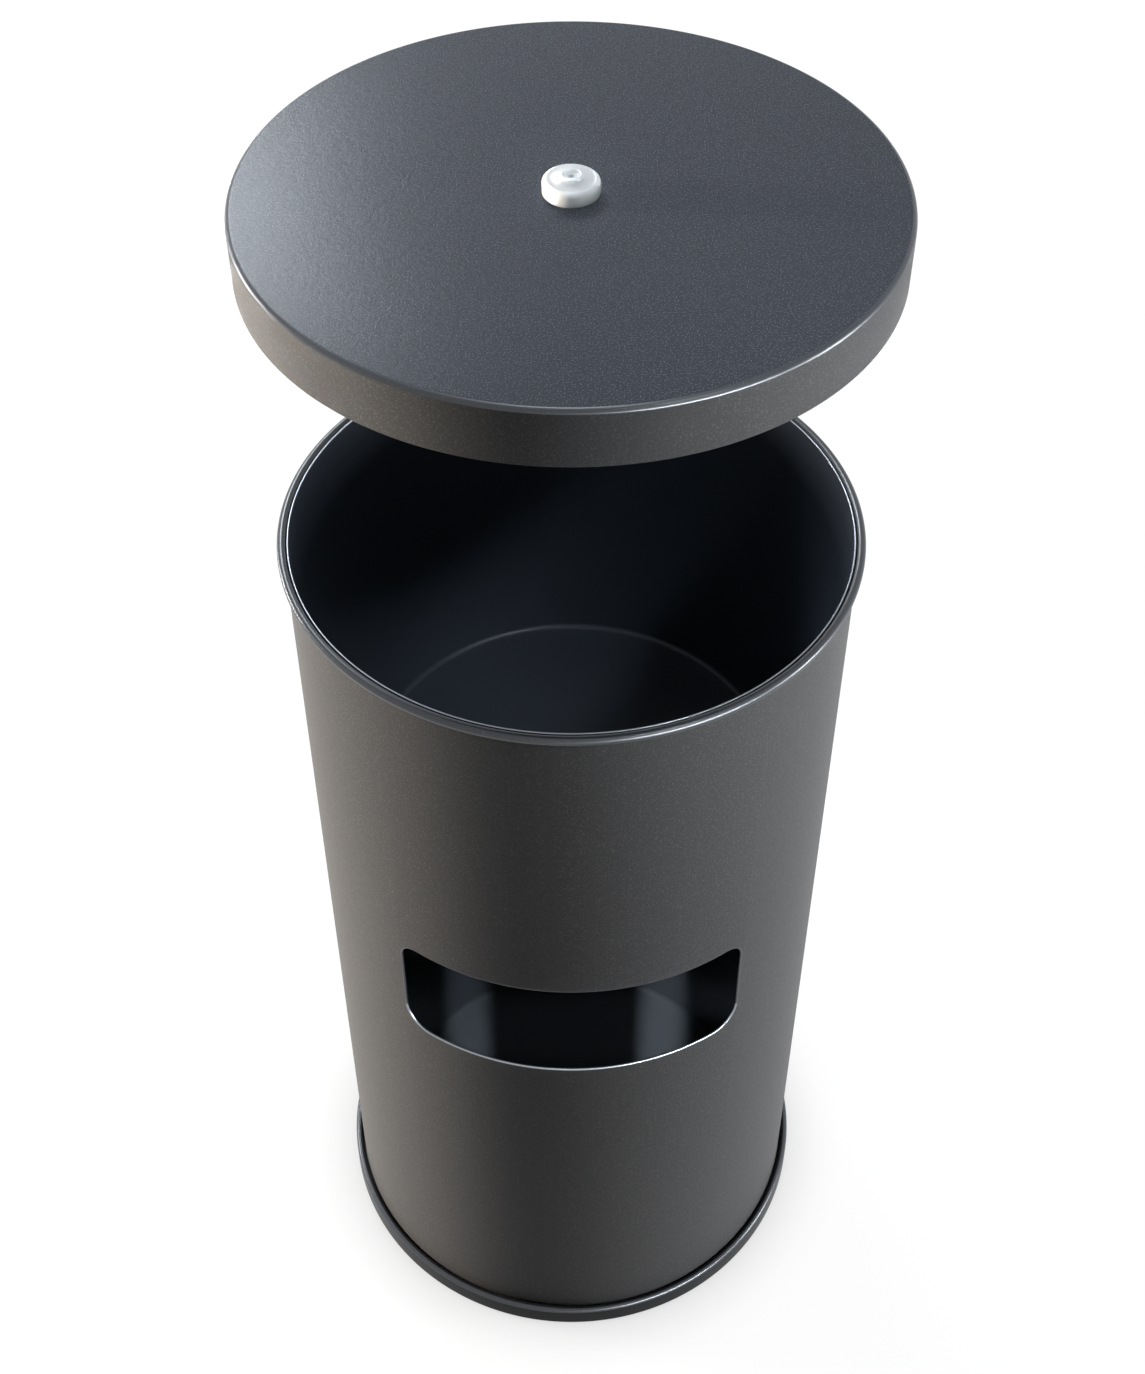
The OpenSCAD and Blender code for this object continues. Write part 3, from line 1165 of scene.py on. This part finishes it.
@dataclass
class Base:
    """The moulded ring, the feet under it and the screws that hold the floor."""

    shop: Workshop
    palette: Palette
    body: Body
    edge: float = 2.2 * MM
    foot_bevel: float = 0.6 * MM
    groove: float = 1.3 * MM
    groove_depth: float = 5 * MM
    groove_lip: float = 0.4 * MM
    wall_gap: float = 0.1 * MM
    hollow: float = 104 * MM
    boss_r: float = 5 * MM
    boss_bore: float = 2.05 * MM
    boss_sink: float = 0.5 * MM
    floor_wall: float = 1 * MM
    foot_count: int = 4
    tread: float = 1.6 * MM
    tread_round: float = 0.5 * MM
    screw_circle: float = 111 * MM
    screw_count: int = 4
    screw_turn: float = 45.0
    screw_head: float = 4 * MM
    head_edge: float = 0.8 * MM
    head_round: float = 1.4 * MM
    head_rise: float = 0.9 * MM
    head_top: float = 2.4 * MM
    shank: float = 2.0 * MM
    shank_length: float = 5.9 * MM
    point: float = 1.4 * MM
    screw_length: float = 6.5 * MM
    recess_width: float = 0.8 * MM
    recess_floor: float = 1.2 * MM

    def build_ring(self) -> None:
        """The ring's channel section, with a boss under each screw."""
        low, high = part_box("base_ring")
        bottom, top, reach = low.z, high.z, high.x
        seat = self.body.low
        lip = self.body.radius + self.groove
        nose = self.groove_lip
        fit = self.body.radius + self.wall_gap
        section = [
            (self.hollow, bottom),
            (reach - self.foot_bevel, bottom),
            (reach, bottom + self.foot_bevel),
            *arc(reach - self.edge, top - self.edge, self.edge, 0, 90, 10),
            *arc(lip + nose, top - nose, nose, 90, 180, 4),
            (lip, top - self.groove_depth),
            (fit, top - self.groove_depth),
            (fit, seat),
            (self.hollow, seat),
        ]
        ring = self.shop.turn("ring_channel", section, self.palette.ring)
        boss_low = seat - self.boss_sink
        boss_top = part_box("base_floor")[1].z - self.floor_wall
        sleeve = [
            (self.boss_bore, boss_low),
            (self.boss_r, boss_low),
            (self.boss_r, boss_top),
            (self.boss_bore, boss_top),
        ]
        boss = self.shop.turn("ring_bosses", sleeve, self.palette.ring, 40)
        boss.data.transform(Matrix.Translation((self.screw_circle, 0, 0)))
        self.shop.repeat(boss, self.screw_count, self.screw_turn, self.palette.ring)
        piece = join("base_ring_moulding", [ring, boss])
        edge_r, edge_z = reach - self.edge, top - 0.8 * self.edge
        redress(piece, self.palette.rim, lambda c: c.z > edge_z and c.xy.length > edge_r)
        mount(piece, Ride.BIN, Slot.RING, "base_ring")

    def build_feet(self) -> None:
        """Four rubber feet with rounded treads."""
        low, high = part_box("foot_1")
        centre, radius = (low + high) / 2, (high.x - low.x) / 2
        nick = self.tread_round
        outline = [
            (0.0, low.z),
            (radius - self.tread, low.z),
            *arc(radius - nick, low.z + nick, nick, 270, 360, 5),
            (radius, high.z),
            (0.0, high.z),
        ]
        foot = self.shop.turn("rubber_feet", outline, self.palette.foot, 48, closed=False)
        foot.data.transform(Matrix.Translation((centre.x, 0, 0)))
        self.shop.repeat(foot, self.foot_count, 0.0, self.palette.foot)
        mount(foot, Ride.BIN, Slot.FOOT, "foot_1", "foot_2", "foot_3", "foot_4")

    def build_screws(self) -> None:
        """Pan-head screws with a cross recess, in the bin's floor."""
        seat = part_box("base_floor")[1].z
        head, crown = self.screw_head, self.head_round
        outline = [
            (0.0, seat - self.screw_length),
            (self.point, seat - self.screw_length),
            (self.shank, seat - self.shank_length),
            (self.shank, seat),
            (head, seat),
            (head, seat + self.head_edge),
            *arc(head - crown, seat + self.head_rise, crown, 0, 80, 6),
            (0.0, seat + self.head_top),
        ]
        screw = self.shop.turn("floor_screws", outline, self.palette.zinc, 32, closed=False)
        low, high = seat + self.recess_floor, seat + head
        for width, length in ((self.recess_width, head), (head, self.recess_width)):
            half = width / 2
            box = [(-half, low), (half, low), (half, high), (-half, high)]
            self.shop.cut(screw, self.shop.prism("recess_tool", box, -length / 2, length / 2))
        screw.data.transform(Matrix.Translation((self.screw_circle, 0, 0)))
        self.shop.repeat(screw, self.screw_count, self.screw_turn, self.palette.zinc)
        mount(screw, Ride.BIN, Slot.SCREW, "base_screws")

    def build(self) -> None:
        """Builds the base and dresses its pressed floor."""
        self.build_ring()
        self.build_feet()
        self.build_screws()
        dress(self.palette.inner, Slot.INNER, "base_floor")


@dataclass
class Inside:
    """The wipes pan in the mouth, its brackets and the waste pail under it."""

    shop: Workshop
    palette: Palette
    pan_wall: float = 0.8 * MM
    pan_bend: float = 3 * MM
    pan_collar: float = 14 * MM
    collar_set: float = 0.3 * MM
    collar_fold: float = 2.5 * MM
    collar_shift: float = 1 * MM
    worn_share: float = 0.6
    pan_floor_r: float = 99.8 * MM
    pail_wall: float = 1.5 * MM
    pail_lip: float = 1.7 * MM
    pail_bend: float = 4 * MM
    pail_foot_r: float = 104 * MM
    pail_r: float = 119 * MM

    def build_pan(self) -> None:
        """The tapered pan: straight collar, sloping side, bent foot, flat floor."""
        low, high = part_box("wipes_pan")
        out_r, top = high.x, high.z
        in_r = out_r - self.pan_wall
        floor = low.z + self.pan_wall
        knee = top - self.pan_collar
        inner_knee = knee + self.collar_shift
        lip = self.pan_wall / 2
        rise = math.degrees(math.atan2(knee - floor, in_r - self.pan_floor_r))
        bend_x = self.pan_floor_r - self.pan_bend * math.tan(math.radians(rise / 2))
        bend_z = floor + self.pan_bend
        outline = [
            (0.0, floor - self.pan_wall),
            *arc(bend_x, bend_z, self.pan_bend + self.pan_wall, 270, 270 + rise, 12),
            (out_r - self.collar_set, knee - self.collar_fold),
            (out_r, knee),
            *arc(out_r - lip, top - lip, lip, 0, 180, 8),
            (in_r, inner_knee),
            (in_r - self.collar_set, inner_knee - self.collar_fold),
            *arc(bend_x, bend_z, self.pan_bend, 270 + rise, 270, 12),
            (0.0, floor),
        ]
        pan = self.shop.turn("wipes_pan_sheet", outline, self.palette.inner, closed=False)
        worn_from = top - self.worn_share * self.pan_wall
        redress(pan, self.palette.worn, lambda c: c.z > worn_from)
        mount(pan, Ride.BIN, Slot.INNER, "wipes_pan")

    def build_pail(self) -> None:
        """The liner, moulded with sloping sides and a rolled lip."""
        low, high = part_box("waste_pail")
        floor, top = low.z, high.z
        lip, bend, wall = self.pail_lip, self.pail_bend, self.pail_wall
        lip_x = self.pail_r - wall + lip
        outline = [
            (0.0, floor),
            *arc(self.pail_foot_r - bend, floor + bend, bend, 270, 360, 8),
            (self.pail_r, top - 2 * lip),
            *arc(lip_x, top - lip, lip, -60, 180, 16),
            (self.pail_r - wall, top - 2 * lip),
            *arc(self.pail_foot_r - wall - bend, floor + wall + bend, bend, 360, 270, 8),
            (0.0, floor + wall),
        ]
        pail = self.shop.turn("waste_pail_liner", outline, self.palette.pail, 192, closed=False)
        mount(pail, Ride.BIN, Slot.PAIL, "waste_pail")

    def build(self) -> None:
        """Builds what stands inside the tube."""
        self.build_pan()
        self.build_pail()
        dress(self.palette.inner, Slot.INNER, "bracket_1", "bracket_2", "bracket_3")


@dataclass
class Lid:
    """The drawn cap lid and the soft seal inside it."""

    shop: Workshop
    palette: Palette
    wall: float = 1.2 * MM
    edge: float = 2.4 * MM
    hole: float = 6.3 * MM
    hole_bevel: float = 0.15 * MM
    steps: int = 320

    def build(self) -> None:
        """Builds the lid and dresses its seal."""
        low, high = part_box("lid_cap")
        reach, under, top = high.x, low.z, high.z
        corner = reach - self.edge, top - self.edge
        half_wall, half_way = self.wall / 2, reach / 2
        lip = reach - half_wall
        outline = [
            (self.hole, top - self.wall),
            (self.hole, top - self.hole_bevel),
            (self.hole + self.hole_bevel, top),
            (half_way, top),
            *arc(*corner, self.edge, 90, 0, 14),
            *arc(lip, under + half_wall, half_wall, 0, -180, 8),
            *arc(*corner, self.edge - self.wall, 0, 90, 8),
            (half_way, top - self.wall),
        ]
        lid = self.shop.turn("lid_drawn_cap", outline, self.palette.lid, self.steps)
        edge_r, edge_z = reach - 0.8 * self.edge, top - 0.8 * self.edge
        redress(lid, self.palette.rim, lambda c: c.z > edge_z and c.xy.length > edge_r)
        # The skirt wears the body paint; the top keeps the darker, bluer copy of it, which is
        # painted shade and a painted cool tint.
        redress(lid, self.palette.body, lambda c: c.z <= edge_z and c.xy.length > lip)
        mount(lid, Ride.LID, Slot.LID, "lid_cap")
        dress(self.palette.foam, Slot.GASKET, "lid_gasket")


@dataclass
class Nozzle:
    """The milky dispensing cap and what it turns on."""

    shop: Workshop
    palette: Palette
    wall: float = 1.6 * MM
    sink: float = 0.1 * MM
    shoulder: float = 6 * MM
    round_r: float = 1.8 * MM
    foot_round: float = 0.3 * MM
    dome_r: float = 9.35 * MM
    dome_round: float = 0.2 * MM
    crest_r: float = 3.75 * MM
    crest_round: float = 0.6 * MM
    hub: float = 7.06 * MM
    hub_wall: float = 1.1 * MM
    orifice: float = 1.2 * MM
    orifice_bevel: float = 0.1 * MM

    def build_cap(self) -> None:
        """The cap's section: skirt, rounded shoulder, low dome, raised ring, orifice and hub.

        The dome and the well inside the ring are points in millimetres: out from the axis, and up
        from the shoulder.
        """
        low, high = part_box("nozzle_cap")
        base, reach = low.z - self.sink, high.x
        top = base + self.shoulder
        heel, hub_low = self.foot_round, base + 1.7 * MM
        hub_out = self.hub + self.hub_wall
        dome = [(9.0, 0.05), (7.0, 0.35), (4.7, 0.75), (4.35, 1.3)]
        well = [(3.0, 1.2), (2.4, 1.0), (1.7, 1.15)]
        outline = [
            (reach - self.wall, low.z),
            (reach - heel, low.z),
            *arc(reach - heel, low.z + heel, heel, 270, 360, 4),
            *arc(reach - self.round_r, top - self.round_r, self.round_r, 0, 66, 12),
            *arc(self.dome_r, top - 0.02 * MM, self.dome_round, 60, 130, 4),
            *[(out * MM, top + up * MM) for out, up in dome],
            *arc(self.crest_r, top + 1.4 * MM, self.crest_round, 20, 150, 8),
            *[(out * MM, top + up * MM) for out, up in well],
            (self.orifice + self.orifice_bevel, top + 1.05 * MM),
            (self.orifice, top + 0.85 * MM),
            (self.orifice, top - 0.8 * MM),
            (self.hub, top - 0.9 * MM),
            (self.hub, hub_low),
            (hub_out, hub_low),
            (hub_out, top - 1.3 * MM),
            (reach - self.wall, top - self.wall),
        ]
        cap = self.shop.turn("dispensing_cap_moulding", outline, self.palette.cap, 96)
        mount(cap, Ride.CAP, Slot.CAP, "nozzle_cap")

    def build(self) -> None:
        """Builds the cap and dresses the pieces under it."""
        self.build_cap()
        dress(self.palette.stem, Slot.STEM, "nozzle_stem", "nozzle_nut")
        dress(self.palette.valve, Slot.VALVE, "nozzle_valve")
        dress(self.palette.foam, Slot.GASKET, "nozzle_washer")


# ---------------------------------------------------------------------------------------------
# Studio
# ---------------------------------------------------------------------------------------------


@dataclass
class Lamp:
    """A studio lamp: its place, what it points at, its power in watts and its tint."""

    name: str
    place: tuple[float, float, float]
    aim: tuple[float, float, float]
    power: float
    tint: tuple[float, float, float]

    def hang(self, kind: str) -> bpy.types.Object:
        """Hangs the lamp in the scene.

        Args:
            kind: Blender's name for its kind of lamp.

        Returns:
            The lamp's object.
        """
        light = bpy.data.lights.new(self.name, kind)
        light.energy = self.power
        light.color = self.tint
        stand = bpy.data.objects.new(self.name, light)
        stand.location = self.place
        ahead = Vector(self.aim) - Vector(self.place)
        stand.rotation_euler = ahead.to_track_quat("-Z", "Y").to_euler()
        bpy.context.scene.collection.objects.link(stand)
        return stand


@dataclass
class Softbox(Lamp):
    """A soft rectangular lamp.

    spread is the angle of its beam in degrees; lights and shines say whether it adds to plain
    tone and to gloss.
    """

    width: float
    height: float
    spread: float = 180.0
    lights: bool = True
    shines: bool = True

    def build(self) -> None:
        """Puts the lamp in the scene."""
        stand = self.hang("AREA")
        stand.data.shape = "RECTANGLE"
        stand.data.size, stand.data.size_y = self.width, self.height
        stand.data.spread = math.radians(self.spread)
        stand.visible_diffuse = self.lights
        stand.visible_glossy = self.shines


@dataclass
class Snoot(Lamp):
    """A narrow beam.

    angle is its width in degrees, slimness squeezes or widens it sideways, and softness is the
    lamp's own radius, which blurs its edge.
    """

    angle: float
    slimness: float = 1.0
    softness: float = 0.002

    def build(self) -> None:
        """Puts the lamp in the scene."""
        stand = self.hang("SPOT")
        stand.data.spot_size = math.radians(self.angle)
        stand.data.spot_blend = 1.0
        stand.data.shadow_soft_size = self.softness
        stand.scale = (self.slimness, 1.0, 1.0)


@dataclass
class Studio:
    """A white floor and world, the lamps, and the camera at the photograph's angle."""

    frame_long: float = 1374.0
    focal_px: float = 2044.8
    sensor: float = 36.0
    back: float = 0.6641
    height: float = 1.0879
    pitch: float = 0.8124
    side: float = 0.0005
    floor_half: float = 6.0
    glow: float = 0.95
    contact: float = 0.035
    contact_depth: float = 0.42
    contact_samples: int = 8
    fade_from: float = 0.7
    fade_to: float = 1.5
    paper: float = 0.07
    fill: float = 0.035
    clip: tuple[float, float] = (0.01, 50.0)

    def build_floor(self) -> None:
        """A white floor with a soft shade round the object's foot."""
        half = self.floor_half
        mesh = bpy.data.meshes.new("floor")
        square = [(-half, -half, 0), (half, -half, 0), (half, half, 0), (-half, half, 0)]
        mesh.from_pydata(square, [], [(0, 1, 2, 3)])
        material = bpy.data.materials.new("floor_white")
        material.use_nodes = True
        material.node_tree.nodes.clear()
        tree = Tree(material.node_tree)
        grey = (self.paper, self.paper, self.paper, 1)
        paper = tree.add("ShaderNodeBsdfDiffuse", {"Color": grey})
        near = tree.add(
            "ShaderNodeAmbientOcclusion",
            {"Distance": self.contact},
            samples=self.contact_samples,
        )
        depth = self.contact_depth
        shade = tree.math("MULTIPLY_ADD", near.outputs["AO"], depth, -depth)
        place = tree.add("ShaderNodeTexCoord").outputs["Object"]
        reach = tree.add("ShaderNodeVectorMath", {0: place}, operation="LENGTH")
        white = tree.add(
            "ShaderNodeMapRange",
            {
                "Value": reach.outputs["Value"],
                "From Min": self.fade_from,
                "From Max": self.fade_to,
                "To Min": self.glow,
                "To Max": 1.0,
            },
        ).outputs["Result"]
        glow = tree.math("MULTIPLY", self.seen(tree, 1.0), tree.math("ADD", white, shade))
        shine = tree.add("ShaderNodeEmission", {"Color": (1, 1, 1, 1), "Strength": glow})
        both = tree.add("ShaderNodeAddShader", {0: paper.outputs[0], 1: shine.outputs[0]})
        tree.add("ShaderNodeOutputMaterial", {"Surface": both.outputs[0]})
        mesh.materials.append(material)
        Workshop.show("floor", mesh)

    @staticmethod
    def seen(tree: Tree, strength: float) -> bpy.types.NodeSocket:
        """A strength that only the camera, reflections and see-through rays meet.

        Args:
            tree: The tree to build in.
            strength: The strength for those rays.

        Returns:
            The socket of the strength.
        """
        path = tree.add("ShaderNodeLightPath")
        rays = tree.math(
            "MAXIMUM",
            path.outputs["Is Camera Ray"],
            tree.math(
                "MAXIMUM", path.outputs["Is Glossy Ray"], path.outputs["Is Transmission Ray"]
            ),
        )
        return tree.math("MULTIPLY", rays, strength)

    def build_world(self) -> None:
        """An even world that is white to look at and gives little light."""
        world = bpy.data.worlds.new("studio")
        world.use_nodes = True
        world.node_tree.nodes.clear()
        tree = Tree(world.node_tree)
        strength = tree.math("ADD", self.fill, self.seen(tree, 1.0 - self.fill))
        sky = tree.add("ShaderNodeBackground", {"Color": (1, 1, 1, 1), "Strength": strength})
        tree.add("ShaderNodeOutputWorld", {"Surface": sky.outputs[0]})
        bpy.context.scene.world = world

    def build_lamps(self) -> None:
        """Hangs the lamps.

        Soft boxes stand round the object and above it, two strips show only as gloss on the rim,
        two light the lid's skirt, and narrow beams reach the cap, the mouth and, from inside and
        outside the bin, what shows behind the slot.
        """
        body, lid, cap = (0.0, 0.0, 0.3), (0.0, 0.0, 0.65), (0.0, 0.0, 0.664)
        rim, skirt = (0.0, 0.0, 0.49), (0.0, 0.0, 0.645)
        warm, cool = (1.0, 0.92, 0.81), (0.92, 0.97, 1.0)
        sky, plain = (0.86, 0.93, 1.0), (1.0, 1.0, 1.0)
        lamps = [
            Softbox("left_softbox", (-1.47, 0.3, 0.43), body, 50, warm, 0.4, 0.48, shines=False),
            Softbox("right_softbox", (1.48, -0.22, 0.43), body, 22, cool, 0.4, 0.48),
            Softbox("front_softbox", (0.1, -1.6, 0.3), body, 1.1, plain, 0.6, 0.3),
            Softbox("lid_softbox", (-0.58, 1.3, 1.58), lid, 18, sky, 0.5, 0.4),
            Softbox("top_softbox", (0.0, 0.1, 2.3), body, 9.5, sky, 0.5, 0.5),
            Softbox("rim_softbox_1", (0.79, -1.01, 0.49), rim, 45, sky, 0.9, 0.16, lights=False),
            Softbox("rim_softbox_2", (-1.15, 0.45, 0.49), rim, 8, plain, 0.35, 0.16, lights=False),
            Softbox(
                "skirt_lamp_1", (-1.35, 0.12, 0.7), skirt, 0.30, warm, 0.2, 0.1, 10, shines=False
            ),
            Softbox(
                "skirt_lamp_2", (1.3, -0.4, 0.7), skirt, 0.04, cool, 0.2, 0.1, 10, shines=False
            ),
            Snoot("cap_snoot", (0.2, -1.0, 1.5), cap, 10, sky, 2.4),
            Snoot(
                "mouth_snoot", (0.52, -0.62, 1.35), (-0.03, 0.03, 0.35), 38, cool, 11, softness=0.1
            ),
            Snoot("slot_snoot_1", (0.044, -0.103, 0.322), (0.056, 0.055, 0.02), 6, cool, 40, 0.15),
            Snoot(
                "slot_snoot_2", (-0.05, -0.1002, 0.322), (-0.064, 0.055, 0.02), 3.9, cool, 40, 0.14
            ),
            Snoot("slot_snoot_3", (0.0, -0.664, 1.088), (0.0, -0.12, 0.28), 7, cool, 2.8, 3.0),
        ]
        for lamp in lamps:
            lamp.build()

    def build_camera(self) -> None:
        """The camera, at the photograph's height, pitch and focal length."""
        data = bpy.data.cameras.new("camera")
        data.sensor_fit = "AUTO"
        data.sensor_width = self.sensor
        data.lens = self.sensor * self.focal_px / self.frame_long
        data.clip_start, data.clip_end = self.clip
        camera = bpy.data.objects.new("camera", data)
        camera.location = (self.side, -self.back, self.height)
        camera.rotation_euler = (math.pi / 2 - self.pitch, 0, 0)
        bpy.context.scene.collection.objects.link(camera)
        bpy.context.scene.camera = camera

    def build(self) -> None:
        """Sets the scene up."""
        bpy.context.scene.view_settings.view_transform = "Standard"
        self.build_floor()
        self.build_world()
        self.build_lamps()
        self.build_camera()


def main() -> None:
    """Loads the frame, sets up the studio and builds each sub-assembly."""
    logging.basicConfig(level=logging.INFO, format="%(name)s %(message)s")
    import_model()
    Studio().build()
    shop, palette = Workshop(), Palette()
    body = Body(shop, palette)
    body.build()
    Base(shop, palette, body).build()
    Inside(shop, palette).build()
    Lid(shop, palette).build()
    Nozzle(shop, palette).build()


if __name__ == "__main__":
    main()
